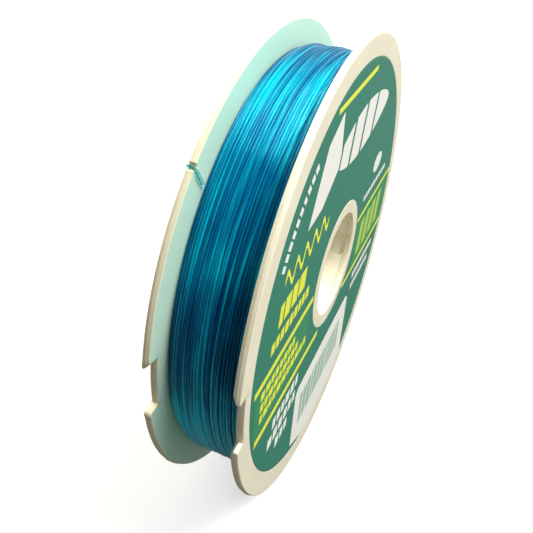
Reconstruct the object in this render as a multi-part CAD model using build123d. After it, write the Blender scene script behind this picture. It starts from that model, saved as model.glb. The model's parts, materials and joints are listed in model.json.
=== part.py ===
from build123d import *
import os
from math import cos, degrees, radians, sin, sqrt, tan

# A fishing line spool. Its axis is the Y axis and it stands on its two flange rims, as a wheel
# stands. The origin is on the axis, midway between the flanges. The labelled front is at -Y.
# An angle is measured about the Y axis from +X towards +Z. All lengths are in millimetres.

# Driving dimensions
FLANGE_R = 36.0
SPOOL_W = 12.8
FLANGE_T = 1.0
BORE_R = 8.3
DRUM_R = 24.0

# Flange rim: a slight crown with small bevels, from the draft of its two mould halves
RIM_BEVEL = 0.1
RIM_CROWN = 0.1

# Notch in each rim that catches the line. Each end is an angle at the rim and one at the floor.
# The bevel opens the notch towards the flange's inner face, to its own pair of ends.
FRONT_NOTCH = {
    "floor_r": 34.3,
    "top": (163.7, 163.2),
    "low": (176.3, 176.6),
    "tip_round": 0.4,
    "bevel_top": (161.6, 161.2),
    "bevel_low": (178.0, 177.3),
    "bevel_depth": 0.45,
}
REAR_NOTCH = {
    "floor_r": 34.0,
    "top": (163.9, 164.3),
    "low": (175.2, 175.6),
    "tip_round": 0.8,
    "bevel_top": (162.2, 162.4),
    "bevel_low": (175.3, 175.7),
    "bevel_depth": 0.85,
}

# Front label, and the label recess that both flanges have. The rear one is left empty.
LABEL_R = 32.5
LABEL_HOLE_R = 10.5
LABEL_T = 0.10
RECESS_DEPTH = 0.12
RECESS_MARGIN = 0.08

# Gate marks on a flange's outer face: a dimple with the broken-off gate's stub inside
GATE_COUNT = 3
GATE_CIRCLE_R = 20.0
GATE_FIRST_DEG = 90.0
GATE_DIMPLE_R = 1.4
GATE_DIMPLE_DEPTH = 0.2
GATE_STUB_R = 0.45
GATE_STUB_H = 0.14

# Hub
DRUM_WALL = 1.3
TUBE_WALL = 1.2
WEB_T = 1.0
RIB_T = 1.0
KEY_RIB_T = 2.0
RIB_COUNT = 6
RIB_END_GAP = 0.2
RIB_FOOT = 0.3

# Snap fingers of a flange, which plug into the end of the drum between the ribs
FINGER_GAP = 0.05
FINGER_T = 1.1
FINGER_LENGTH = 2.4
FINGER_SLOT_GAP = 0.3
BEAD_H = 0.2
BEAD_W = 0.7
BEAD_FROM_TIP = 0.9
GROOVE_GAP = 0.05

# Shallow drive pockets in the bore wall
POCKET_FRONT_Y = -5.4
POCKET_W = 3.0
POCKET_L = 4.4
POCKET_MID_DEG = -22.0
POCKET_DEPTH = 0.45
POCKET_ROUND = 1.0

# Line
LINE_D = 0.4
WINDING_EDGE_R = 32.1
WINDING_MID_R = 32.55
START_DEG = 80.0
START_Y = 1.75
START_HOLE_R = 0.45
KNOT_R = 0.8
KNOT_DEPTH = 0.1

# Free end of the line: off the winding, over the rear rim in a V-slit, down the rear face
LINE_GAP = 0.03
SLIT_DEG = 123.6
SLIT_DEPTH = 0.5
SLIT_BOTTOM_W = 0.52
SLIT_TOP_W = 0.9
EDGE_BEND_R = 0.5

# Tape that holds the free end to the rear face
TAPE_L = 9.0
TAPE_W = 7.0
TAPE_T = 0.08
TAPE_TENT_HALF_W = 0.28
TAPE_TENT_SLOPE_W = 0.55
TAPE_PAST_END = 0.5

# Worked out from the above
FRONT_Y = -SPOOL_W / 2
REAR_Y = SPOOL_W / 2
INNER_Y = SPOOL_W / 2 - FLANGE_T
RECESS_FLOOR_Y = FRONT_Y + RECESS_DEPTH
DRUM_IN_R = DRUM_R - DRUM_WALL
TUBE_OUT_R = BORE_R + TUBE_WALL
KEY_DEG = (FRONT_NOTCH["top"][0] + FRONT_NOTCH["low"][0]) / 2
RIB_STEP_DEG = 360 / RIB_COUNT
FAR_OUT_R = FLANGE_R + 4.0


def polar(radius, angle, y=0.0):
    """A point at this radius and angle about the Y axis."""
    return Vector(radius * cos(radians(angle)), y, radius * sin(radians(angle)))


def flat(radius, angle):
    """The same point in the two directions of Plane.XZ."""
    return (radius * cos(radians(angle)), radius * sin(radians(angle)))


def ring(outer_r, inner_r, low_y, high_y):
    """A plain ring about the Y axis."""
    points = [(inner_r, low_y), (outer_r, low_y), (outer_r, high_y), (inner_r, high_y)]
    return revolve(make_face(Polyline(*points, close=True)), Axis.Y)


def radial_bar(thickness, inner_r, outer_r, low_y, high_y, angle):
    """A straight bar that points outwards at an angle, from one radius to another."""
    bar = Box(outer_r - inner_r, high_y - low_y, thickness)
    bar = Pos((inner_r + outer_r) / 2, (low_y + high_y) / 2, 0) * bar
    return Rot(0, -angle, 0) * bar


def window_side(floor_r, end, tip_round, way):
    """One end of a gap in a rim: in over the rounded tip, then down to the floor."""
    rim_deg, floor_deg = end
    corner = Vector(*flat(FLANGE_R, rim_deg))
    floor = Vector(*flat(floor_r, floor_deg))
    tip_deg = rim_deg + way * degrees(tip_round / FLANGE_R)
    on_rim = Vector(*flat(FLANGE_R, tip_deg))
    on_end = corner + (floor - corner).normalized() * tip_round
    on_arc = corner + (on_rim + on_end - 2 * corner) * (1 - sqrt(0.5))
    beyond = Vector(*flat(FAR_OUT_R, tip_deg))
    return [Line(beyond, on_rim), ThreePointArc(on_rim, on_arc, on_end), Line(on_end, floor)]


def rim_window(floor_r, top, low, tip_round):
    """The flat outline of a gap in a rim. top and low are its ends' angles at the rim and floor."""
    top_side = window_side(floor_r, top, tip_round, -1)
    low_side = window_side(floor_r, low, tip_round, 1)
    mid_floor = flat(floor_r, (top[1] + low[1]) / 2)
    floor = ThreePointArc(flat(floor_r, top[1]), mid_floor, flat(floor_r, low[1]))
    outside = Line(low_side[0] @ 0, top_side[0] @ 0)
    return make_face([*top_side, floor, *low_side, outside])


def cut_notch(body, notch):
    """Cuts a notch with rounded tips through the front flange, and bevels it on the inner face."""
    floor_r = notch["floor_r"]
    tip_round = notch["tip_round"]
    window = rim_window(floor_r, notch["top"], notch["low"], tip_round)
    inner = FRONT_Y + FLANGE_T
    body -= through(window, FRONT_Y - 1, inner + 1)
    bevelled = rim_window(floor_r, notch["bevel_top"], notch["bevel_low"], tip_round)
    start = Plane.XZ.offset(notch["bevel_depth"] - inner) * window
    return body - loft([start, Plane.XZ.offset(-inner) * bevelled], ruled=True)


def through(outline, low_y, high_y):
    """A Plane.XZ outline made solid between two values of Y."""
    return extrude(Plane.XZ.offset(-high_y) * outline, high_y - low_y)


# The free end's route, which the slit and the tape follow too
slit_floor_r = FLANGE_R - SLIT_DEPTH
line_r = slit_floor_r + LINE_D / 2 + LINE_GAP
inner_line_y = INNER_Y - LINE_D / 2 - LINE_GAP
rear_line_y = REAR_Y + LINE_D / 2 + LINE_GAP
TAIL_ROUTE = [
    polar(WINDING_MID_R - 0.05, 125.2, inner_line_y),
    polar(line_r, 123.9, inner_line_y),
    polar(line_r, 123.3, rear_line_y),
    Vector(-18.9, rear_line_y, 26.6),
    Vector(-17.6, rear_line_y, 21.0),
    Vector(-16.0, rear_line_y, 11.0),
    Vector(-15.2, rear_line_y, 1.4),
]


def tail_radii():
    """One bend radius for each corner of the route: the rim's edges are tight, the rest gentle."""
    radii = []
    for before, here, after in zip(TAIL_ROUTE, TAIL_ROUTE[1:], TAIL_ROUTE[2:]):
        turn = radians((here - before).get_angle(after - here))
        shorter = min((here - before).length, (after - here).length)
        radii.append(0.45 * shorter / tan(turn / 2))
    radii[0] = min(radii[0], EDGE_BEND_R)
    radii[1] = min(radii[1], EDGE_BEND_R)
    return radii


def tail_tube(diameter):
    """A round tube along the free end's route."""
    path = FilletPolyline(*TAIL_ROUTE, radius=tail_radii())
    start = Plane(TAIL_ROUTE[0], z_dir=TAIL_ROUTE[1] - TAIL_ROUTE[0])
    return sweep(start * Circle(diameter / 2), path=path)


def flange_blank():
    """The front flange's disc and snap ring, without its notch and slots."""
    face = FRONT_Y
    inner = FRONT_Y + FLANGE_T
    mid = FRONT_Y + FLANGE_T / 2
    side_r = FLANGE_R - RIM_CROWN
    low_r = LABEL_HOLE_R - RECESS_MARGIN
    high_r = LABEL_R + RECESS_MARGIN
    outside = [
        (BORE_R + RIM_BEVEL, face),
        (low_r, face),
        (low_r, RECESS_FLOOR_Y),
        (high_r, RECESS_FLOOR_Y),
        (high_r, face),
    ]
    rim = [
        (side_r - RIM_BEVEL, face),
        (side_r, face + RIM_BEVEL),
        (FLANGE_R, mid),
        (side_r, inner - RIM_BEVEL),
        (side_r - RIM_BEVEL, inner),
    ]
    ring_r = DRUM_IN_R - FINGER_GAP
    tip = inner + FINGER_LENGTH
    bead = tip - BEAD_FROM_TIP
    snap_ring = [
        (ring_r, inner),
        (ring_r, bead - BEAD_W / 2),
        (ring_r + BEAD_H, bead),
        (ring_r, bead + BEAD_W / 2),
        (ring_r - BEAD_H, tip),
        (ring_r - FINGER_T, tip),
        (ring_r - FINGER_T, inner),
    ]
    bore = [(BORE_R, inner), (BORE_R, face + RIM_BEVEL)]
    profile = Polyline(*outside, *rim, *snap_ring, *bore, close=True)
    return revolve(make_face(profile), Axis.Y)


def rib_angles():
    """Each rib's angle and thickness. One rib is thicker, so the flanges go on one way only."""
    for i in range(RIB_COUNT):
        yield KEY_DEG + i * RIB_STEP_DEG, KEY_RIB_T if i == 0 else RIB_T


def gate_marks():
    """The gate marks' dimples in the recess floor of the front flange, less their stubs."""
    dimple = Cylinder(GATE_DIMPLE_R, 2 * GATE_DIMPLE_DEPTH, rotation=(90, 0, 0))
    stub = Cylinder(GATE_STUB_R, 2 * GATE_STUB_H, rotation=(90, 0, 0))
    stub = Pos(0, GATE_DIMPLE_DEPTH, 0) * stub
    mark = Pos(GATE_CIRCLE_R, RECESS_FLOOR_Y, 0) * (dimple - stub)
    for i in range(GATE_COUNT):
        yield Rot(0, -GATE_FIRST_DEG - i * 360 / GATE_COUNT, 0) * mark


def flange(notch):
    """A flange in the front place, with its notch, and with its snap ring split into fingers."""
    body = cut_notch(flange_blank(), notch)
    for mark in gate_marks():
        body -= mark
    slot_in_r = DRUM_IN_R - FINGER_T - 1.0
    slot_out_r = DRUM_IN_R + 1.0
    slot_low = FRONT_Y + FLANGE_T
    for angle, thickness in rib_angles():
        width = thickness + FINGER_SLOT_GAP
        body -= radial_bar(width, slot_in_r, slot_out_r, slot_low, slot_low + 4, angle)
    return body


def front_flange():
    """The labelled flange."""
    return flange(FRONT_NOTCH)


def rear_flange():
    """The other flange, with the V-slit that the line's free end lies in."""
    body = mirror(flange(REAR_NOTCH), about=Plane.XZ)
    half_top = SLIT_TOP_W / 2
    half_bottom = SLIT_BOTTOM_W / 2
    points = [
        (slit_floor_r, -half_bottom),
        (FLANGE_R, -half_top),
        (FLANGE_R + 1, -half_top),
        (FLANGE_R + 1, half_top),
        (FLANGE_R, half_top),
        (slit_floor_r, half_bottom),
    ]
    slit = through(make_face(Polyline(*points, close=True)), INNER_Y - 1, REAR_Y + 1)
    body -= Rot(0, -SLIT_DEG, 0) * slit
    return body - tail_tube(LINE_D + 2 * LINE_GAP)


def hub():
    """The drum that the line is wound on, the bore tube, the web between them and the ribs."""
    groove_r = DRUM_IN_R - FINGER_GAP + BEAD_H + GROOVE_GAP
    groove_y = INNER_Y - FINGER_LENGTH + BEAD_FROM_TIP
    half_w = BEAD_W / 2 + GROOVE_GAP
    drum = [(DRUM_R, -INNER_Y), (DRUM_R, INNER_Y), (DRUM_IN_R, INNER_Y)]
    drum += [(DRUM_IN_R, groove_y + half_w), (groove_r, groove_y), (DRUM_IN_R, groove_y - half_w)]
    drum += [(DRUM_IN_R, -groove_y + half_w), (groove_r, -groove_y), (DRUM_IN_R, -groove_y - half_w)]
    drum += [(DRUM_IN_R, -INNER_Y)]
    body = revolve(make_face(Polyline(*drum, close=True)), Axis.Y)
    body += ring(TUBE_OUT_R, BORE_R, -INNER_Y, INNER_Y)
    body += ring(DRUM_IN_R + RIB_FOOT, TUBE_OUT_R - RIB_FOOT, -WEB_T / 2, WEB_T / 2)
    rib_high = INNER_Y - RIB_END_GAP
    finger_deep = INNER_Y - FINGER_LENGTH - RIB_END_GAP
    for angle, thickness in rib_angles():
        foot_r = TUBE_OUT_R - RIB_FOOT
        clear_r = DRUM_IN_R - 0.01
        body += radial_bar(thickness, foot_r, clear_r - BEAD_H, -rib_high, rib_high, angle)
        body += radial_bar(thickness, clear_r - 1, DRUM_IN_R + RIB_FOOT, -finger_deep, finger_deep, angle)
    for pocket in drive_pockets():
        body -= pocket
    start_hole = Cylinder(START_HOLE_R, 2 * DRUM_WALL, rotation=(0, 90, 0))
    start_hole = Pos(DRUM_R - DRUM_WALL / 2, START_Y, 0) * start_hole
    return body - Rot(0, -START_DEG, 0) * start_hole


def drive_pockets():
    """Two opposite shallow pockets with rounded corners in the bore wall."""
    limit = Cylinder(BORE_R + POCKET_DEPTH, SPOOL_W, rotation=(90, 0, 0))
    outline = RectangleRounded(POCKET_W, POCKET_L, POCKET_ROUND)
    side_on = Plane(origin=(0, POCKET_FRONT_Y + POCKET_W / 2, 0), x_dir=(0, 1, 0), z_dir=(1, 0, 0))
    prism = extrude(side_on * outline, BORE_R + 2)
    for angle in (POCKET_MID_DEG, POCKET_MID_DEG + 180):
        yield (Rot(0, -angle, 0) * prism) & limit


def front_label():
    """The printed disc on the front flange."""
    return ring(LABEL_R, LABEL_HOLE_R, RECESS_FLOOR_Y - LABEL_T, RECESS_FLOOR_Y)


def line_winding():
    """The outer shape of the wound line, barrelled a little between the flanges."""
    crown = ThreePointArc((WINDING_EDGE_R, -INNER_Y), (WINDING_MID_R, 0), (WINDING_EDGE_R, INNER_Y))
    sides = Polyline((WINDING_EDGE_R, INNER_Y), (DRUM_R, INNER_Y), (DRUM_R, -INNER_Y), (WINDING_EDGE_R, -INNER_Y))
    return revolve(make_face([crown, *sides.edges()]), Axis.Y)


def line_start():
    """The inner end of the line, through the drum wall to a knot inside the hub."""
    knot_r = DRUM_IN_R - KNOT_DEPTH - KNOT_R
    stem = Cylinder(LINE_D / 2, DRUM_R - knot_r, rotation=(0, 90, 0))
    stem = Pos((DRUM_R + knot_r) / 2, START_Y, 0) * stem
    knot = Pos(knot_r, START_Y, 0) * Sphere(KNOT_R)
    return Rot(0, -START_DEG, 0) * (stem + knot)


def tail_tape():
    """A strip of clear tape in the rear recess, tented over the end of the line."""
    end = TAIL_ROUTE[-1]
    along = (end - TAIL_ROUTE[-2]).normalized()
    lift = RECESS_DEPTH + LINE_D + 2 * LINE_GAP
    under = [
        (-TAPE_W / 2, 0),
        (-TAPE_TENT_SLOPE_W, 0),
        (-TAPE_TENT_HALF_W, lift),
        (TAPE_TENT_HALF_W, lift),
        (TAPE_TENT_SLOPE_W, 0),
        (TAPE_W / 2, 0),
    ]
    over = [(x, height + TAPE_T) for x, height in reversed(under)]
    across = along.cross(Vector(0, 1, 0))
    origin = Vector(end.X, -RECESS_FLOOR_Y, end.Z) + along * TAPE_PAST_END
    section = Plane(origin=origin, x_dir=across, z_dir=-along)
    outline = make_face(Polyline(*under, *over, close=True))
    return extrude(section * outline, TAPE_L)


PARTS = {
    "front_flange": front_flange,
    "rear_flange": rear_flange,
    "hub": hub,
    "front_label": front_label,
    "line_winding": line_winding,
    "line_start": line_start,
    "line_tail": lambda: tail_tube(LINE_D),
    "tail_tape": tail_tape,
}

os.makedirs("parts", exist_ok=True)
for name, make in PARTS.items():
    export_step(make(), f"parts/{name}.step")

tail_path = FilletPolyline(*TAIL_ROUTE, radius=tail_radii())
print("bend radii of the free end", [round(radius, 2) for radius in tail_radii()])
print("length of the free end", round(tail_path.length, 2))
print("volume against section times length", tail_tube(LINE_D).volume / tail_path.length)
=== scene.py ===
import json
import math
import random

import bpy
import numpy as np
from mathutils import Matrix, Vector


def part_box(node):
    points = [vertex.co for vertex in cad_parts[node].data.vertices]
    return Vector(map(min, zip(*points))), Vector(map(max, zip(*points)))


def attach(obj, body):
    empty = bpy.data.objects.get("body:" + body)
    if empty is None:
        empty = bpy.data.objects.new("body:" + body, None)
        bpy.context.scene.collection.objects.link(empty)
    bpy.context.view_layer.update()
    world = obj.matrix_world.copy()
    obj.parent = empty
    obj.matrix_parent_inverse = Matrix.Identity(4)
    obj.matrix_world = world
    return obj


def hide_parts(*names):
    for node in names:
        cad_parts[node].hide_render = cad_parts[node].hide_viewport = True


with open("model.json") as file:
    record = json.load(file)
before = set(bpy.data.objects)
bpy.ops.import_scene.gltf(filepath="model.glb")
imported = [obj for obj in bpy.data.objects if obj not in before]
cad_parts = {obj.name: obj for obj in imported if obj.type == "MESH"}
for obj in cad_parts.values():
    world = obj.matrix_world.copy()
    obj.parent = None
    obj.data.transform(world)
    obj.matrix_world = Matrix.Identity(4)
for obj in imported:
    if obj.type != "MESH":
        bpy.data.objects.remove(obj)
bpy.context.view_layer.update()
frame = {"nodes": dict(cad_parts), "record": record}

# A fishing line spool. Its axis is Y, the labelled front is at -Y and it stands on its rims.
# Lengths are in millimetres and become metres in add_mesh(). Bumps, lights, the floor and the free end's
# route are in metres.
# An angle is measured about the Y axis from +X towards +Z.
MM = 0.001


# ---------------------------------------------------------------- sizes, read from the frame


def node_box(node):
    """A CAD node's lowest and highest corner in millimetres."""
    low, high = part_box(node)
    return low / MM, high / MM


def mount(name):
    """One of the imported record's mounts."""
    return next(m for m in frame["record"]["mounts"] if m["name"] == name)


flange_low, flange_high = node_box("front_flange")
winding_high = node_box("line_winding")[1]
label_low, label_high = node_box("front_label")

FLANGE_R = flange_high.x
FRONT_Y = flange_low.y
INNER_Y = winding_high.y
FLANGE_T = abs(FRONT_Y) - INNER_Y
BORE_R = mount("bore")["dims"]["r_mm"]
LABEL_R = label_high.x
LABEL_FRONT_Y = label_low.y
LABEL_BACK_Y = label_high.y
RECESS_DEPTH = LABEL_BACK_Y - FRONT_Y
FLOOR_Z = flange_low.z
WINDING_MID_R = winding_high.x

# The notches, the slit, the label's hole and the snap ring, as in the CAD source. The slit's tips are rounded
# here too, and it has no bevel.
FRONT_NOTCH = {
    "floor_r": 34.3,
    "top": (163.7, 163.2),
    "low": (176.3, 176.6),
    "tip_round": 0.4,
    "bevel_top": (161.6, 161.2),
    "bevel_low": (178.0, 177.3),
    "bevel_depth": 0.45,
}
REAR_NOTCH = {
    "floor_r": 34.0,
    "top": (163.9, 164.3),
    "low": (175.2, 175.6),
    "tip_round": 0.8,
    "bevel_top": (162.2, 162.4),
    "bevel_low": (175.3, 175.7),
    "bevel_depth": 0.85,
}
TAIL_SLIT = {
    "floor_r": 35.5,
    "top": (122.88, 123.18),
    "low": (124.32, 124.02),
    "tip_round": 0.15,
}
TAIL_SLIT["bevel_top"] = TAIL_SLIT["top"]
TAIL_SLIT["bevel_low"] = TAIL_SLIT["low"]
LABEL_HOLE_R = 10.5
RECESS_MARGIN = 0.08
LINE_D = 0.4
SNAP_RING_R = (21.55, 22.65)
SNAP_RING_TIP = 2.4
SNAP_BEAD_H = 0.2
SNAP_BEAD_HALF_W = 0.35
SNAP_BEAD_FROM_TIP = 0.9
RIB_COUNT = 6
KEY_SLOT_HALF_W = 1.15
RIB_SLOT_HALF_W = 0.65
KEY_DEG = 170.0


def polar(radius, angle, y):
    """A point at this radius and angle about the Y axis."""
    a = math.radians(angle)
    return (radius * math.cos(a), y, radius * math.sin(a))


def degrees_from(angle, centre):
    """How far an angle is from a centre, from -180 to 180 degrees."""
    return (angle - centre + 180) % 360 - 180


# ---------------------------------------------------------------- camera

CAMERA_PLACE_DEG = (-69.75, 45.45)
CAMERA_DISTANCE = 105.4
CAMERA_LOOK_DEG = (-66.80, 41.36)
CAMERA_LENS = 44.13
CAMERA_SHIFT = (-0.016, -0.1154)


def direction(azimuth, elevation):
    """From the object towards a viewer at this azimuth and elevation."""
    a = math.radians(azimuth)
    e = math.radians(elevation)
    return Vector((math.sin(a) * math.cos(e), -math.cos(a) * math.cos(e), math.sin(e)))


def add_camera():
    data = bpy.data.cameras.new("camera")
    data.lens = CAMERA_LENS
    data.shift_x, data.shift_y = CAMERA_SHIFT
    data.clip_start = 0.005
    data.clip_end = 20.0
    camera = bpy.data.objects.new("camera", data)
    camera.location = direction(*CAMERA_PLACE_DEG) * CAMERA_DISTANCE * MM
    camera.rotation_mode = "QUATERNION"
    camera.rotation_quaternion = (-direction(*CAMERA_LOOK_DEG)).to_track_quat("-Z", "Y")
    bpy.context.scene.collection.objects.link(camera)
    bpy.context.scene.camera = camera


add_camera()


# ---------------------------------------------------------------- materials


def fill_ramp(ramp, stops):
    """Gives a colour ramp node its (place, colour) stops."""
    elements = ramp.color_ramp.elements
    while len(elements) < len(stops):
        elements.new(0.5)
    for element, (place, colour) in zip(elements, stops):
        element.position = place
        element.color = (*colour, 1.0)


class Nodes:
    """A small helper to build one material's nodes in plain calls."""

    def __init__(self, name):
        self.material = bpy.data.materials.new(name)
        self.material.use_nodes = True
        self.tree = self.material.node_tree
        self.shader = self.tree.nodes["Principled BSDF"]

    def add(self, kind, **values):
        node = self.tree.nodes.new(kind)
        for key, value in values.items():
            setattr(node, key, value)
        return node

    def link(self, output, target):
        self.tree.links.new(output, target)

    def set(self, **values):
        for key, value in values.items():
            self.shader.inputs[key.replace("_", " ")].default_value = value

    def noise(self, scale, detail=3.0, roughness=0.55, stretch=(1, 1, 1)):
        """A noise in object space, with so many features a metre."""
        place = self.add("ShaderNodeTexCoord")
        mapping = self.add("ShaderNodeMapping")
        mapping.inputs["Scale"].default_value = stretch
        self.link(place.outputs["Object"], mapping.inputs["Vector"])
        noise = self.add("ShaderNodeTexNoise")
        noise.inputs["Scale"].default_value = scale
        noise.inputs["Detail"].default_value = detail
        noise.inputs["Roughness"].default_value = roughness
        self.link(mapping.outputs["Vector"], noise.inputs["Vector"])
        return noise.outputs["Fac"]

    def ramp(self, fac, stops):
        """A colour ramp from (place, colour) stops."""
        ramp = self.add("ShaderNodeValToRGB")
        fill_ramp(ramp, stops)
        self.link(fac, ramp.inputs["Fac"])
        return ramp.outputs["Color"]

    def spread(self, fac, low, high):
        """Maps 0..1 to low..high."""
        node = self.add("ShaderNodeMapRange")
        node.inputs["To Min"].default_value = low
        node.inputs["To Max"].default_value = high
        self.link(fac, node.inputs["Value"])
        return node.outputs["Result"]

    def bump(self, height, distance, strength=1.0, normal=None):
        node = self.add("ShaderNodeBump")
        node.inputs["Strength"].default_value = strength
        node.inputs["Distance"].default_value = distance
        self.link(height, node.inputs["Height"])
        if normal is not None:
            self.link(normal, node.inputs["Normal"])
        return node.outputs["Normal"]


def plastic(name, light, dark, beside_line):
    """Satin off-white moulded plastic: faint mottling, fine scuffs and a little light inside.

    The faces beside the line, marked on the mesh, are painted with the tint of light from the line. The tint
    is fixed, and doesn't follow the scene's light."""
    n = Nodes(name)
    mottle = n.noise(220, detail=4)
    own = n.ramp(mottle, [(0.35, dark), (0.65, light)])
    tint = n.add("ShaderNodeAttribute", attribute_name="beside_line")
    mix = n.add("ShaderNodeMix", data_type="RGBA")
    n.link(tint.outputs["Fac"], mix.inputs["Factor"])
    n.link(own, mix.inputs["A"])
    mix.inputs["B"].default_value = (*beside_line, 1)
    n.link(mix.outputs["Result"], n.shader.inputs["Base Color"])
    grain = n.noise(3500, detail=2)
    n.link(n.spread(grain, 0.34, 0.5), n.shader.inputs["Roughness"])
    scuffs = n.noise(900, detail=5, stretch=(1, 6, 1))
    fine = n.bump(grain, 0.00001, 0.35)
    n.link(n.bump(scuffs, 0.00002, 0.35, fine), n.shader.inputs["Normal"])
    n.set(Subsurface_Weight=0.2, Subsurface_Scale=0.0012)
    n.shader.inputs["Subsurface Radius"].default_value = (1.0, 0.85, 0.55)
    return n.material


INK_ROUGHNESS = (0.41, 0.53)


def print_ink(name, colour, worn):
    """Printed ink on the label: nearly even, with fine speckle."""
    n = Nodes(name)
    speckle = n.noise(5000, detail=3)
    n.link(n.ramp(speckle, [(0.3, worn), (0.6, colour)]), n.shader.inputs["Base Color"])
    n.link(n.spread(speckle, *INK_ROUGHNESS), n.shader.inputs["Roughness"])
    n.link(n.bump(n.noise(1500, detail=2), 0.000008, 0.3), n.shader.inputs["Normal"])
    n.set(Specular_IOR_Level=0.22)
    return n.material


# The tones that the first and last colour of a line's ramp stand for
TONE_RANGE = (0.1, 1.5)


def monofilament(name, stops, transmission):
    """Glossy translucent blue nylon. Each strand has its own tone, stored on the mesh; on the wound strands
    it also holds painted highlights and shade.
    """
    n = Nodes(name)
    tone = n.add("ShaderNodeAttribute", attribute_name="tone")
    cloud = n.noise(160, detail=3)
    mix = n.add("ShaderNodeMath", operation="MULTIPLY_ADD")
    n.link(cloud, mix.inputs[0])
    mix.inputs[1].default_value = 0.5
    n.link(tone.outputs["Fac"], mix.inputs[2])
    place = n.add("ShaderNodeMapRange")
    place.inputs["From Min"].default_value = TONE_RANGE[0]
    place.inputs["From Max"].default_value = TONE_RANGE[1]
    n.link(mix.outputs[0], place.inputs["Value"])
    n.link(n.ramp(place.outputs["Result"], stops), n.shader.inputs["Base Color"])
    n.link(n.spread(n.noise(1200), 0.08, 0.16), n.shader.inputs["Roughness"])
    n.link(n.bump(n.noise(420, detail=3), 0.00009), n.shader.inputs["Normal"])
    n.set(Transmission_Weight=transmission, IOR=1.53, Specular_IOR_Level=0.6)
    n.shader.inputs["Specular Tint"].default_value = (0.05, 0.80, 1.0, 1.0)
    return n.material


def clear_tape(name):
    """Thin clear tape with faint haze."""
    n = Nodes(name)
    haze = n.noise(500, detail=4)
    tint = n.ramp(haze, [(0.3, (0.80, 0.82, 0.78)), (0.7, (0.92, 0.93, 0.90))])
    n.link(tint, n.shader.inputs["Base Color"])
    n.link(n.spread(haze, 0.12, 0.3), n.shader.inputs["Roughness"])
    n.link(n.spread(haze, 0.28, 0.42), n.shader.inputs["Alpha"])
    return n.material


def backdrop_paper(name):
    """Plain pale paper with a faint glow."""
    n = Nodes(name)
    fibre = n.noise(300, detail=4)
    tint = n.ramp(fibre, [(0.0, (0.88, 0.88, 0.88)), (1.0, (0.92, 0.92, 0.92))])
    n.link(tint, n.shader.inputs["Base Color"])
    n.set(Roughness=0.9, Specular_IOR_Level=0.1, Emission_Strength=0.16)
    n.shader.inputs["Emission Color"].default_value = (1.0, 1.0, 1.0, 1.0)
    return n.material


# The last colour of each plastic is the painted tint of light from the line, on the flanges' inner faces.
CREAM = plastic("cream_plastic", (0.81, 0.76, 0.585), (0.77, 0.715, 0.535), (0.57, 0.80, 0.65))
# The rear flange is the same plastic as the front; its darker colours are painted shade.
SHADED_CREAM_REAR = plastic("cream_plastic_rear_painted_shade", (0.71, 0.66, 0.47), (0.685, 0.63, 0.435), (0.54, 0.76, 0.62))
GREEN_INK = print_ink("green_ink", (0.028, 0.205, 0.135), (0.024, 0.175, 0.112))
BRIGHT_GREEN_INK = print_ink("bright_green_ink", (0.035, 0.26, 0.11), (0.03, 0.22, 0.095))
PALE_GREEN_INK = print_ink("pale_green_ink", (0.36, 0.52, 0.40), (0.28, 0.44, 0.33))
YELLOW_INK = print_ink("yellow_ink", (0.80, 0.82, 0.06), (0.66, 0.70, 0.05))
LIME_INK = print_ink("lime_ink", (0.42, 0.62, 0.08), (0.33, 0.52, 0.07))
WHITE_INK = print_ink("white_ink", (0.84, 0.83, 0.77), (0.74, 0.74, 0.68))
LINE_OUTER = monofilament(
    "line_outer",
    [(0.0, (0.0, 0.035, 0.17)), (0.4, (0.0, 0.19, 0.40)), (1.0, (0.0, 0.80, 1.0))],
    0.35,
)
LINE_SINGLE = monofilament("line_single", [(0.0, (0.35, 0.84, 0.88)), (0.5, (0.5, 0.93, 0.93))], 0.97)
LINE_CORE = monofilament("line_core", [(0.0, (0.0, 0.05, 0.18)), (0.5, (0.0, 0.13, 0.30))], 0.0)
TAPE = clear_tape("clear_tape")


# ---------------------------------------------------------------- mesh building


def add_mesh(name, points, faces, material, smooth=True, **attributes):
    """A mesh object from points in millimetres, with any numbers that its material reads."""
    mesh = bpy.data.meshes.new(name)
    mesh.from_pydata((np.asarray(points, float) * MM).tolist(), [], faces)
    mesh.update()
    if smooth:
        mesh.shade_smooth()
    for key, values in attributes.items():
        attribute = mesh.attributes.new(key, "FLOAT", "POINT")
        attribute.data.foreach_set("value", np.asarray(values, np.float32))
    mesh.materials.append(material)
    piece = bpy.data.objects.new(name, mesh)
    bpy.context.scene.collection.objects.link(piece)
    return piece


def skin(loop_count, loop_size, closed_rows, flip=False):
    """Quads between neighbouring closed loops of points. closed_rows joins the last to the first."""
    row = np.arange(loop_count if closed_rows else loop_count - 1)
    a = (row[:, None] * loop_size + np.arange(loop_size)[None, :]).ravel()
    column_next = np.roll(np.arange(loop_size), -1)
    b = (row[:, None] * loop_size + column_next[None, :]).ravel()
    next_row = (row + 1) % loop_count
    c = (next_row[:, None] * loop_size + column_next[None, :]).ravel()
    d = (next_row[:, None] * loop_size + np.arange(loop_size)[None, :]).ravel()
    quads = np.stack([a, d, c, b] if flip else [a, b, c, d], axis=1)
    return quads.tolist()


def at_angles(radius, angles):
    """Points in the flat (x, z) plane. radius and angles may be arrays."""
    a = np.radians(angles)
    return np.stack([radius * np.cos(a), radius * np.sin(a)], axis=-1)


# ---------------------------------------------------------------- flanges

RIM_STEP_DEG = 0.4
TIP_POINTS = 6
END_POINTS = 5
FLOOR_POINTS = 24


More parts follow.
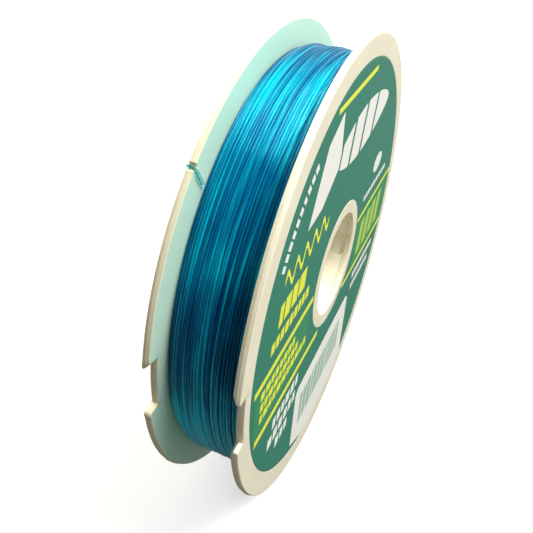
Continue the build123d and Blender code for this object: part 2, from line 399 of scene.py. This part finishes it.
def gap_side(floor_r, end, tip_round, way):
    """One end of a gap in the rim: over the rounded tip, then in to the floor's corner."""
    rim_deg, floor_deg = end
    corner = at_angles(FLANGE_R, rim_deg)
    floor = at_angles(floor_r, floor_deg)
    on_rim = at_angles(FLANGE_R, rim_deg + way * math.degrees(tip_round / FLANGE_R))
    inwards = (floor - corner) / np.linalg.norm(floor - corner)
    on_end = corner + inwards * tip_round
    t = np.linspace(0, 1, TIP_POINTS)[:, None]
    tip = on_rim * (1 - t) ** 2 + corner * 2 * t * (1 - t) + on_end * t**2
    t = np.linspace(0, 1, END_POINTS + 1)[1:-1, None]
    return np.concatenate([tip, on_end + (floor - on_end) * t])


def gap_outline(gap, top, low):
    """The points of one gap, in the direction of growing angle."""
    first = gap_side(gap["floor_r"], top, gap["tip_round"], -1)
    last = gap_side(gap["floor_r"], low, gap["tip_round"], 1)[::-1]
    floor = at_angles(gap["floor_r"], np.linspace(top[1], low[1], FLOOR_POINTS))
    return np.concatenate([first, floor, last])


def flange_outline(gaps, bevelled):
    """The closed outline of a flange, and which of its points are on the plain rim.

    A bevelled outline has as many points as the plain one, so that the two can be blended."""
    kind = "bevel_" if bevelled else ""
    parts = []
    on_rim = []

    def add_part(points, is_rim):
        parts.append(points)
        on_rim.append(np.full(len(points), is_rim))

    def add_arc(start, end, plain_start, plain_end):
        count = int((plain_end - plain_start) / RIM_STEP_DEG)
        angles = np.linspace(start, end, count, endpoint=False)
        add_part(at_angles(FLANGE_R, angles[1 if parts else 0 :]), True)

    start = 0.0
    plain_start = 0.0
    for gap in gaps:
        top = gap[kind + "top"]
        low = gap[kind + "low"]
        tip_deg = math.degrees(gap["tip_round"] / FLANGE_R)
        add_arc(start, top[0] - tip_deg, plain_start, gap["top"][0] - tip_deg)
        add_part(gap_outline(gap, top, low), False)
        start = low[0] + tip_deg
        plain_start = gap["low"][0] + tip_deg
    add_arc(start, 360.0, plain_start, 360.0)
    return np.concatenate(parts), np.concatenate(on_rim)


def inset(points, distance):
    """Moves a closed outline inwards by a distance, which may differ from point to point."""
    along = np.roll(points, -1, axis=0) - points
    along /= np.linalg.norm(along, axis=1)[:, None]
    normal = np.stack([along[:, 1], -along[:, 0]], axis=1)
    mean = normal + np.roll(normal, 1, axis=0)
    mean /= np.linalg.norm(mean, axis=1)[:, None]
    widen = 1 / np.maximum((mean * normal).sum(axis=1), 0.6)
    return points - mean * (widen * distance)[:, None]


# Rim profile: depth from the outer face, and how far the surface lies inside the rim's crown
RIM_PROFILE = [
    (0.0, 0.42),
    (0.0, 0.25),
    (0.004, 0.205),
    (0.03, 0.155),
    (0.07, 0.118),
    (0.12, 0.095),
    (0.2, 0.075),
    (0.34, 0.04),
    (0.455, 0.01),
    (0.485, 0.002),
]
# The edges of the gaps are less rounded than the rim
GAP_EDGE_SHARE = 0.4
FLASH_HALF_W = 0.018
FLASH_H = 0.012
FLASH_FLECK_H = 0.09
FLASH_FLECK_COUNT = 46


def flash_height(outline, on_rim, seed):
    """The parting line's thin flash: a low ridge with a few taller flecks."""
    rng = np.random.default_rng(seed)
    angles = np.degrees(np.arctan2(outline[:, 1], outline[:, 0]))
    height = np.full(len(outline), FLASH_H)
    for k in range(3, 9):
        height += FLASH_H * 0.25 * np.sin(np.radians(angles) * k * 7 + rng.uniform(0, 6.3))
    for _ in range(FLASH_FLECK_COUNT):
        centre = rng.uniform(-180, 180)
        width = rng.uniform(0.25, 0.7)
        away = degrees_from(angles, centre)
        height += rng.uniform(0.2, 1.0) * FLASH_FLECK_H * np.exp(-((away / width) ** 2))
    return np.where(on_rim, height, 0.0)


def smooth_step(x, low, high):
    t = np.clip((x - low) / (high - low), 0, 1)
    return t * t * (3 - 2 * t)


# A face whose corners differ in height by less than this is shaded flat
FLAT_WITHIN = 0.0005
# The inner face, which carries the painted tint of light from the line, reaches this far past its own plane
INNER_FACE_WITHIN = 0.01

GATE_COUNT = 3
GATE_CIRCLE_R = 20.0
GATE_FIRST_DEG = 90.0
GATE_DIMPLE_R = 1.4
GATE_DIMPLE_DEPTH = 0.2
GATE_STUB_R = 0.45
GATE_STUB_H = 0.14
GATE_RING_STEP = 0.16


def gate_depth(points):
    """How deep the gate marks lie below the recess floor at these (x, z) points."""
    depth = np.zeros(len(points))
    for i in range(GATE_COUNT):
        centre = at_angles(GATE_CIRCLE_R, GATE_FIRST_DEG + i * 360 / GATE_COUNT)
        away = np.linalg.norm(points - centre, axis=1)
        dimple = 1 - smooth_step(away, GATE_DIMPLE_R - 0.12, GATE_DIMPLE_R + 0.06)
        stub = 1 - smooth_step(away, GATE_STUB_R - 0.06, GATE_STUB_R + 0.12)
        depth += GATE_DIMPLE_DEPTH * dimple - GATE_STUB_H * stub
    return depth


def face_rings(gate_marks):
    """(radius, depth) of the rings on the outer face, from the bore's edge to the rim."""
    low_r = LABEL_HOLE_R - RECESS_MARGIN
    high_r = LABEL_R + RECESS_MARGIN
    rings = [(BORE_R, 0.16), (BORE_R, 0.1), (BORE_R + 0.02, 0.04), (BORE_R + 0.06, 0.01), (BORE_R + 0.12, 0)]
    rings += [(BORE_R + 0.3, 0), (low_r - 0.15, 0), (low_r - 0.02, 0), (low_r, 0.015)]
    rings += [(low_r, RECESS_DEPTH - 0.02), (low_r + 0.02, RECESS_DEPTH), (low_r + 0.2, RECESS_DEPTH)]
    if gate_marks:
        reach = GATE_DIMPLE_R + 0.3
        for r in np.arange(GATE_CIRCLE_R - reach, GATE_CIRCLE_R + reach, GATE_RING_STEP):
            rings.append((r, RECESS_DEPTH))
    rings += [(26.0, RECESS_DEPTH), (high_r - 0.2, RECESS_DEPTH), (high_r - 0.02, RECESS_DEPTH)]
    rings += [(high_r, RECESS_DEPTH - 0.02), (high_r, 0.015), (high_r + 0.02, 0), (high_r + 0.15, 0)]
    return rings


def snap_rings():
    """(radius, height above the inner face) of the inner side, from the rim back to the bore."""
    low_r, high_r = SNAP_RING_R
    bead = SNAP_RING_TIP - SNAP_BEAD_FROM_TIP
    bead_low = bead - SNAP_BEAD_HALF_W
    bead_high = bead + SNAP_BEAD_HALF_W
    rings = [(33.2, 0), (28.0, 0), (23.5, 0), (high_r + 0.05, 0), (high_r, 0.03), (high_r, bead_low)]
    rings += [(high_r + SNAP_BEAD_H, bead), (high_r, bead_high), (high_r - 0.2, SNAP_RING_TIP)]
    rings += [(low_r, SNAP_RING_TIP), (low_r, 0.03), (low_r - 0.05, 0), (15.0, 0), (BORE_R + 0.2, 0)]
    rings += [(BORE_R + 0.04, 0), (BORE_R, -0.05)]
    return rings


def finger_mask(angles):
    """0 in the slots between the snap fingers, where the hub's ribs pass, and 1 elsewhere."""
    mask = np.ones(len(angles))
    for i in range(RIB_COUNT):
        half_w = KEY_SLOT_HALF_W if i == 0 else RIB_SLOT_HALF_W
        half_deg = math.degrees(half_w / SNAP_RING_R[1])
        away = degrees_from(angles - KEY_DEG, i * 360 / RIB_COUNT)
        mask[np.abs(away) < half_deg] = 0.0
    return mask


def add_flange(name, side, gaps, gate_marks, material, seed):
    """A flange as one closed skin. side is -1 for the front and 1 for the rear."""
    plain, on_rim = flange_outline(gaps, bevelled=False)
    bevelled, _ = flange_outline(gaps, bevelled=True)
    bevel_depth = gaps[-1]["bevel_depth"]
    flash = flash_height(plain, on_rim, seed)
    plain_deg = np.maximum.accumulate(np.degrees(np.unwrap(np.arctan2(plain[:, 1], plain[:, 0]))))
    inner_deg = np.maximum.accumulate(np.degrees(np.unwrap(np.arctan2(bevelled[:, 1], bevelled[:, 0]))))
    edge = np.where(on_rim, 1.0, GAP_EDGE_SHARE)
    edge = (np.roll(edge, 1) + edge + np.roll(edge, -1)) / 3
    loops = []

    def add_loop(flat_points, depth):
        y = side * (abs(FRONT_Y) - np.broadcast_to(depth, len(flat_points)))
        loops.append(np.stack([flat_points[:, 0], y, flat_points[:, 1]], axis=1))

    for radius, depth in face_rings(gate_marks):
        points = at_angles(radius, plain_deg)
        add_loop(points, depth + (gate_depth(points) if gate_marks else 0))
    rim = [(t, i, 0.0) for t, i in RIM_PROFILE]
    rim += [(FLANGE_T / 2 - FLASH_HALF_W / 2, 0.0, 1.0), (FLANGE_T / 2 + FLASH_HALF_W / 2, 0.0, 1.0)]
    rim += [(FLANGE_T - t, i, 0.0) for t, i in reversed(RIM_PROFILE)]
    for depth, inwards, share in rim:
        blend = min(max((depth - FLANGE_T + bevel_depth) / bevel_depth, 0), 1)
        outline = plain + (bevelled - plain) * blend
        add_loop(inset(outline, inwards * edge - share * flash), depth)
    mask = finger_mask(inner_deg)
    for radius, height in snap_rings():
        add_loop(at_angles(radius, inner_deg), FLANGE_T + height * mask)
    faces = skin(len(loops), len(plain), closed_rows=True, flip=side > 0)
    points = np.concatenate(loops)
    inner = np.abs(points[:, 1]) < INNER_Y + INNER_FACE_WITHIN
    flange = add_mesh(name, points, faces, material, beside_line=inner)
    heights = points[np.asarray(faces), 1]
    flange.data.polygons.foreach_set("use_smooth", np.ptp(heights, axis=1) > FLAT_WITHIN)
    return flange


front = add_flange("front_disc", -1, [FRONT_NOTCH], False, CREAM, seed=3)
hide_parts("front_flange")
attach(front, "root")

rear = add_flange("rear_disc", 1, [TAIL_SLIT, REAR_NOTCH], True, SHADED_CREAM_REAR, seed=8)
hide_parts("rear_flange")
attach(rear, "root")


# ---------------------------------------------------------------- label

LABEL_STEPS = 360
LABEL_ROUND = 0.012


def add_label():
    """The printed disc: a thin ring with softened edges."""
    low_r, high_r = LABEL_HOLE_R, LABEL_R
    profile = [
        (low_r, LABEL_BACK_Y),
        (low_r, LABEL_FRONT_Y + LABEL_ROUND),
        (low_r + LABEL_ROUND, LABEL_FRONT_Y),
        (low_r + 0.2, LABEL_FRONT_Y),
        (high_r - 0.2, LABEL_FRONT_Y),
        (high_r - LABEL_ROUND, LABEL_FRONT_Y),
        (high_r, LABEL_FRONT_Y + LABEL_ROUND),
        (high_r, LABEL_BACK_Y),
    ]
    angles = np.linspace(0, 360, LABEL_STEPS, endpoint=False)
    loops = []
    for radius, y in profile:
        flat_points = at_angles(radius, angles)
        loops.append(np.stack([flat_points[:, 0], np.full(LABEL_STEPS, y), flat_points[:, 1]], axis=1))
    faces = skin(len(loops), LABEL_STEPS, closed_rows=True)
    return add_mesh("label_disc", np.concatenate(loops), faces, GREEN_INK)


label = add_label()
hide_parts("front_label")
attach(label, "root")

# The artwork is drawn with a to the right and b up, then turned clockwise by this much.
ART_TURN_DEG = 9.5
INK_T = 0.008
ART_EDGE_GAP = 0.25
ART_STEP = 0.35


def art_to_label(points):
    """From the artwork's own directions to (x, z), kept inside the label's printed ring."""
    turn = math.radians(ART_TURN_DEG)
    a, b = np.asarray(points, float).T
    x = a * math.cos(turn) + b * math.sin(turn)
    z = b * math.cos(turn) - a * math.sin(turn)
    radius = np.hypot(x, z)
    kept = np.clip(radius, LABEL_HOLE_R + ART_EDGE_GAP, LABEL_R - ART_EDGE_GAP)
    return np.stack([x, z], axis=1) * (kept / radius)[:, None]


def finely(points):
    """The closed outline with points added along its long sides."""
    result = []
    points = [np.asarray(p, float) for p in points]
    for here, after in zip(points, points[1:] + points[:1]):
        count = max(1, int(np.linalg.norm(after - here) / ART_STEP))
        result += [here + (after - here) * i / count for i in range(count)]
    return result


class Artwork:
    """Printed shapes of one ink, each a thin slab on the label."""

    def __init__(self, name, material, level):
        self.name = name
        self.material = material
        self.front_y = LABEL_FRONT_Y - INK_T * level
        self.points = []
        self.faces = []

    def shape(self, outline):
        flat_points = art_to_label(finely(outline))
        count = len(flat_points)
        start = len(self.points)
        for y in (self.front_y, LABEL_FRONT_Y):
            self.points += [(x, y, z) for x, z in flat_points]
        ring = list(range(start, start + count))
        self.faces.append(ring)
        self.faces.append([i + count for i in reversed(ring)])
        for here, after in zip(ring, ring[1:] + ring[:1]):
            self.faces.append([here, here + count, after + count, after])

    def bar(self, a, b, width, height, lean=0.0):
        """A bar from its lower left corner. lean slides its top to the right."""
        self.shape([(a, b), (a + width, b), (a + width + lean, b + height), (a + lean, b + height)])

    def row(self, a, b, widths, gap, height, lean=0.0):
        for width in widths:
            self.bar(a, b, width, height, lean)
            a += width + gap

    def finish(self):
        piece = add_mesh(self.name, self.points, self.faces, self.material, smooth=False)
        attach(piece, "root")


def wave(a, b, length, height, period, thick):
    """The outline of a wavy ribbon."""
    t = np.linspace(0, 1, 60)
    middle = b + height / 2 * np.sin(2 * math.pi * t * length / period)
    top = [(a + length * s, m + thick / 2) for s, m in zip(t, middle)]
    bottom = [(a + length * s, m - thick / 2) for s, m in zip(t, middle)]
    return bottom + top[::-1]


def draw_patches():
    """The flat grounds under the rows of bars."""
    art = Artwork("print_bright_green", BRIGHT_GREEN_INK, 1)
    art.bar(-31.0, -7.4, 19.0, 7.6)
    art.bar(11.0, -8.6, 22.0, 9.6)
    art.finish()


def draw_yellow():
    rng = random.Random(5)
    art = Artwork("print_yellow", YELLOW_INK, 2)
    art.bar(-9.6, 29.4, 18.0, 0.8)
    art.shape(wave(-24.0, 13.4, 16.0, 2.4, 3.2, 1.0))
    art.row(-25.2, 7.2, [1.3, 2.0, 2.0, 2.4], 0.45, 3.2, lean=0.5)
    art.row(-27.0, 4.1, [0.9 + 0.35 * rng.random() for _ in range(9)], 0.35, 1.7, lean=0.15)
    art.bar(-31.4, 0.75, 20.4, 1.0)
    art.shape([(-30.6, -9.2), (-6.4, -9.9), (-6.2, -8.9), (-30.4, -8.1)])
    for b, count in ((-1.7, 8), (-3.8, 9), (-5.9, 11)):
        art.row(-29.3, b, [0.9 + 0.6 * rng.random() for _ in range(count)], 0.32, 1.35, lean=0.1)
    art.bar(10.9, 1.1, 21.6, 0.7)
    art.bar(6.3, -9.8, 25.0, 0.8)
    art.finish()


def draw_lime():
    art = Artwork("print_lime", LIME_INK, 2)
    art.row(13.0, -7.2, [2.6, 2.6, 2.6, 2.6], 1.1, 6.6, lean=1.2)
    art.finish()


def fish_slice(start, end):
    """A slanted slice of the fish's body, between two places along it from 0 to 1."""
    length = 25.5
    nose_a = 19.2
    middle_b = 21.4
    outline = []
    for s in np.linspace(start, end, 14):
        half = 6.6 * (1 - s) ** 0.55 * (1 - 0.78 * (1 - s) ** 2.6)
        outline.append((nose_a - length * (1 - s) + 0.24 * half, middle_b + half))
    for s in np.linspace(end, start, 14):
        half = 5.8 * (1 - s) ** 0.55 * (1 - 0.78 * (1 - s) ** 2.6)
        outline.append((nose_a - length * (1 - s) - 0.24 * half, middle_b - half))
    return outline


def draw_white():
    rng = random.Random(11)
    art = Artwork("print_white", WHITE_INK, 2)
    for start, end in ((0.03, 0.2), (0.24, 0.42), (0.46, 0.66), (0.70, 0.995)):
        art.shape(fish_slice(start, end))
    art.shape([(-17.2, 16.8), (-12.2, 17.2), (-6.5, 20.4), (-6.0, 22.6), (-6.8, 28.8), (-12.2, 26.2)])
    for i in range(10):
        along = 137.5 - 2.7 * i
        width = rng.uniform(1.3, 2.1)
        corners = []
        for radius, angle in ((29.2, width), (29.2, -width), (30.3, -width), (30.3, width)):
            a = math.radians(along + angle * 0.55 + ART_TURN_DEG)
            corners.append((radius * math.cos(a), radius * math.sin(a)))
        art.shape(corners)
    for a, b, count in ((-24.0, -12.9, 6), (-25.4, -15.9, 6), (-22.2, -18.9, 3)):
        art.row(a, b, [1.1 + 0.5 * rng.random() for _ in range(count)], 0.45, 1.9, lean=0.1)
    art.row(13.0, 4.2, [1.0 + 0.5 * rng.random() for _ in range(9)], 0.35, 1.0)
    art.shape([(19.6 + 2.6 * math.cos(t), 8.9 + 1.7 * math.sin(t)) for t in np.linspace(0, 6.1, 24)])
    for b, count in ((-12.8, 8), (-15.4, 7)):
        art.row(13.4, b, [1.0 + 0.5 * rng.random() for _ in range(count)], 0.35, 1.3)
    panel_top = [(-14.2, -28.0), (-14.0, -16.4), (-13.1, -15.4), (11.2, -15.2), (12.2, -16.2)]
    art.shape([*panel_top, (12.4, -30.0), (0.0, -36.0)])
    art.finish()


def draw_panel():
    rng = random.Random(17)
    art = Artwork("print_pale_green", PALE_GREEN_INK, 3)
    art.row(-11.4, -25.6, [0.5 + 1.3 * rng.random() for _ in range(13)], 0.4, 7.0)
    art.finish()


draw_patches()
draw_yellow()
draw_lime()
draw_white()
draw_panel()


# ---------------------------------------------------------------- wound line

STRAND_SEGMENTS = 220
TURNS = 27
HALF_W = INNER_Y
# Strands are a little thinner than the line, which leaves a narrow gap between turns
STRAND_D = LINE_D * 0.93

# The outline of the winding: low beside both flanges, and lower still beside the rear one
EDGE_DIP = 0.42
REAR_DIP = 0.45
REAR_DIP_Y = (3.2, 5.4)
# A fuller place on its front half, at the bottom
SWELL_H = 0.42
SWELL_DEG = -95
SWELL_REACH_DEG = 45
SWELL_Y = -2.6
SWELL_REACH_Y = 2.2
RIPPLE_H = 0.06

# Tone is painted on the strands: it wanders along each one, by this much, every so many degrees
TONE_WANDER = 0.22
TONE_BASE_EVERY = 210
TONE_WANDER_EVERY = (70, 24, 9)
# Painted light and shade round the winding: angle, reach in degrees, and change of tone. The stretches at 99
# and 141 degrees are painted highlights, the one at 158 is painted shade, and the one at 196 is painted light
# from below. They don't follow the lamps.
PAINTED_LIGHT_ZONES = [(158.0, 15.0, -0.2), (196.0, 20.0, 1.2), (99.0, 15.0, 0.5), (141.0, 6.0, 0.2)]


def top_radius(y, angle):
    """The radius that the winding reaches at this place across it and round it."""
    across = np.abs(y) / HALF_W
    radius = WINDING_MID_R - EDGE_DIP * across**4
    radius = radius - REAR_DIP * smooth_step(y, *REAR_DIP_Y)
    swell = np.exp(-((degrees_from(angle, SWELL_DEG) / SWELL_REACH_DEG) ** 2))
    radius = radius + SWELL_H * swell * np.exp(-(((y - SWELL_Y) / SWELL_REACH_Y) ** 2))
    radius = radius + RIPPLE_H * np.sin(np.radians(angle) * 3 + y * 0.7)
    return radius


class Drift:
    """A smooth sideways drift of the turns that keeps their order."""

    def __init__(self, seed, size):
        rng = np.random.default_rng(seed)
        self.terms = []
        for k in range(1, 8):
            self.terms.append((size / k**0.6, k, rng.uniform(0, 6.3), rng.uniform(-1.4, 1.4)))

    def __call__(self, y, angle):
        total = np.zeros(len(y))
        for size, k, phase, slope in self.terms:
            total += size * np.sin(k * np.radians(angle) + phase + slope * y)
        return total * np.clip(1 - (np.abs(y) / (HALF_W - 0.15)) ** 3, 0, 1)


def tube(y, radius, angle, thickness, sides):
    """The points and faces of a strand about the Y axis, with closed ends."""
    a = np.radians(angle)
    outwards = np.stack([np.cos(a), np.zeros(len(a)), np.sin(a)], axis=1)
    centre = outwards * radius[:, None]
    centre[:, 1] = y
    turn = np.linspace(0, 2 * math.pi, sides, endpoint=False)
    ring = np.cos(turn)[None, :, None] * outwards[:, None, :]
    ring = ring + np.sin(turn)[None, :, None] * np.array([0, 1.0, 0])[None, None, :]
    points = (centre[:, None, :] + ring * thickness / 2).reshape(-1, 3)
    faces = skin(len(a), sides, closed_rows=False)
    faces.append(list(range(sides)))
    last = (len(a) - 1) * sides
    faces.append([last + i for i in reversed(range(sides))])
    return points, faces


def wander(rng, angle, every, low, high):
    """Random values every so many degrees, joined smoothly along the strand."""
    place = (angle - angle[0]) / every
    knots = rng.uniform(low, high, int(place[-1]) + 2)
    whole = place.astype(int)
    t = place - whole
    t = t * t * (3 - 2 * t)
    return knots[whole] * (1 - t) + knots[whole + 1] * t


def tone_along(rng, angle, low, high):
    """A strand's tone, which wanders along it and takes the painted highlights and shade round the winding.
    """
    tone = wander(rng, angle, TONE_BASE_EVERY, low, high)
    for every in TONE_WANDER_EVERY:
        tone += wander(rng, angle, every, -TONE_WANDER, TONE_WANDER)
    for centre, reach, change in PAINTED_LIGHT_ZONES:
        away = degrees_from(angle, centre)
        tone += change * np.exp(-((away / reach) ** 2))
    return np.clip(tone, 0, TONE_RANGE[1])


class Strands:
    """Many strands in one mesh."""

    def __init__(self, name, sides):
        self.name = name
        self.sides = sides
        self.points = []
        self.faces = []
        self.tones = []
        self.count = 0

    def add(self, y, radius, angle, tone):
        points, faces = tube(y, radius, angle, STRAND_D, self.sides)
        self.points.append(points)
        self.faces += [[i + self.count for i in face] for face in faces]
        self.tones.append(np.repeat(tone, self.sides))
        self.count += len(points)

    def finish(self, material):
        tones = np.concatenate(self.tones)
        piece = add_mesh(self.name, np.concatenate(self.points), self.faces, material, tone=tones)
        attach(piece, "root")


LAYER_EDGE_GAP = 0.02
LAYER_DRIFT = 0.05
LAYER_SWAY = 0.05
LAYER_SWAY_EVERY = 65
LAYER_RISE = 0.08
LAYER_RISE_EVERY = 80
LAYER_TONES = (0.05, 0.65)


def add_layer(name, depth, way, seed, sides):
    """A full layer: one strand that winds from one flange to the other."""
    rng = np.random.default_rng(seed)
    drift = Drift(seed, LAYER_DRIFT)
    strands = Strands(name, sides)
    span = HALF_W - LINE_D / 2 - LAYER_EDGE_GAP
    pitch = 2 * span / (TURNS - 1)
    angle = np.linspace(0, 360 * TURNS, STRAND_SEGMENTS * TURNS + 1)
    y = way * np.clip((angle / 360 - 0.5) * pitch - span, -span, span)
    sway = wander(rng, angle, LAYER_SWAY_EVERY, -LAYER_SWAY, LAYER_SWAY)
    y = np.clip(y + drift(y, angle) + sway * (1 - (np.abs(y) / HALF_W) ** 4), -span, span)
    rise = wander(rng, angle, LAYER_RISE_EVERY, -LAYER_RISE, LAYER_RISE)
    radius = top_radius(y, angle) - LINE_D / 2 - depth + rise
    strands.add(y, radius, angle, tone_along(rng, angle, *LAYER_TONES))
    strands.finish(LINE_OUTER)


CROSSING_COUNT = 26
CROSSING_LENGTH_DEG = (70, 230)
CROSSING_STEP_DEG = 1.6
CROSSING_START_Y = 4.6
CROSSING_TRAVEL = (0.5, 2.6)
CROSSING_SWAY = 0.12
CROSSING_LIMIT_Y = 5.1
CROSSING_LIFT = 0.16
CROSSING_DIVE = 0.5
CROSSING_DIVE_IN = (0, 0.12)
CROSSING_DIVE_OUT = (0.88, 1.0)
CROSSING_TONES = (0.1, 0.8)


def add_crossings(name, seed):
    """Turns that wander across the outer layer, and dive under it at both ends."""
    rng = np.random.default_rng(seed)
    strands = Strands(name, 8)
    for _ in range(CROSSING_COUNT):
        start = rng.uniform(0, 360)
        length = rng.uniform(*CROSSING_LENGTH_DEG)
        angle = start + np.linspace(0, length, int(length / CROSSING_STEP_DEG))
        share = (angle - start) / length
        first = rng.uniform(-CROSSING_START_Y, CROSSING_START_Y)
        travel = rng.uniform(*CROSSING_TRAVEL) * rng.choice([-1, 1])
        y = first + travel * smooth_step(share, 0.05, 0.95)
        sway = CROSSING_SWAY * np.sin(share * rng.uniform(4, 9) + rng.uniform(0, 6.3))
        y = np.clip(y + sway, -CROSSING_LIMIT_Y, CROSSING_LIMIT_Y)
        rise = CROSSING_LIFT * np.sin(np.pi * share) ** 0.5
        rise = rise - CROSSING_DIVE * (1 - smooth_step(share, *CROSSING_DIVE_IN))
        rise = rise - CROSSING_DIVE * smooth_step(share, *CROSSING_DIVE_OUT)
        radius = top_radius(y, angle) - LINE_D / 2 + rise
        strands.add(y, radius, angle, tone_along(rng, angle, *CROSSING_TONES))
    strands.finish(LINE_OUTER)


CORE_DEPTH = 0.95
CORE_STEPS = 200
CORE_TONE = 0.35
SCALLOP_STEPS = 6
DRUM_R = 24.0


def core_tone(turn):
    """One of eleven tones, in a fixed mixed order."""
    return CORE_TONE * ((turn * 37 % 11) / 11)


def add_core():
    """The turns below, as one ring whose surface is scalloped like a layer of line."""
    angles = np.linspace(0, 360, CORE_STEPS, endpoint=False)
    loops = []
    tones = []
    count = TURNS * SCALLOP_STEPS
    for i in range(count + 1):
        y = np.full(CORE_STEPS, -HALF_W + 2 * HALF_W * i / count)
        within = (i % SCALLOP_STEPS) / SCALLOP_STEPS * 2 - 1
        scallop = LINE_D / 2 * (math.sqrt(max(0.0, 1 - within**2)) - 1)
        radius = top_radius(y, angles) - CORE_DEPTH + scallop
        flat_points = at_angles(radius, angles)
        loops.append(np.stack([flat_points[:, 0], y, flat_points[:, 1]], axis=1))
        tones.append(np.full(CORE_STEPS, core_tone(i // SCALLOP_STEPS)))
    for side_y in (HALF_W, -HALF_W):
        flat_points = at_angles(DRUM_R, angles)
        y = np.full(CORE_STEPS, side_y)
        loops.append(np.stack([flat_points[:, 0], y, flat_points[:, 1]], axis=1))
        tones.append(np.zeros(CORE_STEPS))
    faces = skin(len(loops), CORE_STEPS, closed_rows=True, flip=True)
    return add_mesh("line_core", np.concatenate(loops), faces, LINE_CORE, tone=np.concatenate(tones))


core = add_core()
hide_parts("line_winding")
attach(core, "root")
add_layer("line_layer_1", 0.62, 1, 21, 6)
add_layer("line_layer_2", 0.31, -1, 34, 8)
add_layer("line_layer_3", 0.0, 1, 55, 10)
add_crossings("line_crossings", 89)


# ---------------------------------------------------------------- free end of the line

# The route of the CAD tube, in metres, with one point added beside each edge of the rim
TAIL_ROUTE = [
    polar(0.03250, 125.2, 0.00517),
    polar(0.03428, 124.5, 0.00517),
    polar(0.03573, 123.9, 0.00517),
    polar(0.03573, 123.3, 0.00663),
    (-0.01930, 0.00663, 0.02842),
    (-0.01890, 0.00663, 0.02660),
    (-0.01760, 0.00663, 0.02100),
    (-0.01600, 0.00663, 0.01100),
    (-0.01520, 0.00663, 0.00140),
]
LINE_D_METRES = LINE_D * MM


def add_tail():
    data = bpy.data.curves.new("line_free_end", "CURVE")
    data.dimensions = "3D"
    data.bevel_depth = LINE_D_METRES / 2
    data.bevel_resolution = 4
    data.resolution_u = 16
    data.use_fill_caps = True
    spline = data.splines.new("NURBS")
    spline.points.add(len(TAIL_ROUTE) - 1)
    for point, place in zip(spline.points, TAIL_ROUTE):
        point.co = (*place, 1.0)
    spline.order_u = 3
    spline.use_endpoint_u = True
    data.materials.append(LINE_SINGLE)
    piece = bpy.data.objects.new("line_free_end", data)
    bpy.context.scene.collection.objects.link(piece)
    return piece


tail = add_tail()
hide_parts("line_tail")
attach(tail, "root")


# ---------------------------------------------------------------- CAD pieces that keep their shape


def refinish(node, material):
    """Gives a CAD piece another material. Its shape stays."""
    piece = frame["nodes"][node]
    for material_slot in piece.material_slots:
        material_slot.material = material


refinish("hub", CREAM)
refinish("line_start", LINE_SINGLE)
refinish("tail_tape", TAPE)


# ---------------------------------------------------------------- floor and light

FLOOR_HALF_METRES = 8.0


def add_floor():
    """A plain pale floor, hidden from diffuse and glossy rays. Rays through the line and tape see it."""
    half = FLOOR_HALF_METRES
    z = FLOOR_Z * MM
    mesh = bpy.data.meshes.new("floor")
    corners = [(-half, -half, z), (half, -half, z), (half, half, z), (-half, half, z)]
    mesh.from_pydata(corners, [], [(0, 1, 2, 3)])
    mesh.materials.append(backdrop_paper("backdrop_paper"))
    floor = bpy.data.objects.new("floor", mesh)
    bpy.context.scene.collection.objects.link(floor)
    floor.visible_diffuse = False
    floor.visible_glossy = False


def add_softbox(name, azimuth, elevation, distance, size, power):
    """A square area light that points at the spool."""
    data = bpy.data.lights.new(name, "AREA")
    data.size = size
    data.energy = power
    light = bpy.data.objects.new(name, data)
    light.location = direction(azimuth, elevation) * distance
    light.rotation_mode = "QUATERNION"
    light.rotation_quaternion = (-direction(azimuth, elevation)).to_track_quat("-Z", "Y")
    bpy.context.scene.collection.objects.link(light)


def add_world(bright_side, stops, strength):
    """A soft room that is bright on one side. stops go from the side opposite to the bright one."""
    world = bpy.data.worlds.new("studio")
    world.use_nodes = True
    tree = world.node_tree
    background = tree.nodes["Background"]
    background.inputs["Strength"].default_value = strength
    place = tree.nodes.new("ShaderNodeTexCoord")
    towards = tree.nodes.new("ShaderNodeVectorMath")
    towards.operation = "DOT_PRODUCT"
    towards.inputs[1].default_value = direction(*bright_side)
    share = tree.nodes.new("ShaderNodeMapRange")
    share.inputs["From Min"].default_value = -1.0
    ramp = tree.nodes.new("ShaderNodeValToRGB")
    fill_ramp(ramp, stops)
    tree.links.new(place.outputs["Generated"], towards.inputs[0])
    tree.links.new(towards.outputs["Value"], share.inputs["Value"])
    tree.links.new(share.outputs["Result"], ramp.inputs["Fac"])
    tree.links.new(ramp.outputs["Color"], background.inputs["Color"])
    bpy.context.scene.world = world


ROOM_STOPS = [
    (0.0, (0.34, 0.34, 0.33)),
    (0.2, (0.11, 0.105, 0.09)),
    (0.38, (0.15, 0.14, 0.115)),
    (0.55, (0.36, 0.355, 0.33)),
    (0.8, (0.78, 0.78, 0.77)),
    (1.0, (1.0, 1.0, 1.0)),
]


add_floor()
add_softbox("key_light", azimuth=30, elevation=60, distance=0.6, size=0.28, power=5.2)
add_softbox("back_fill", azimuth=150, elevation=28, distance=0.7, size=0.5, power=5.5)
add_world(bright_side=(42, 36), stops=ROOM_STOPS, strength=0.85)
bpy.context.scene.view_settings.view_transform = "Standard"
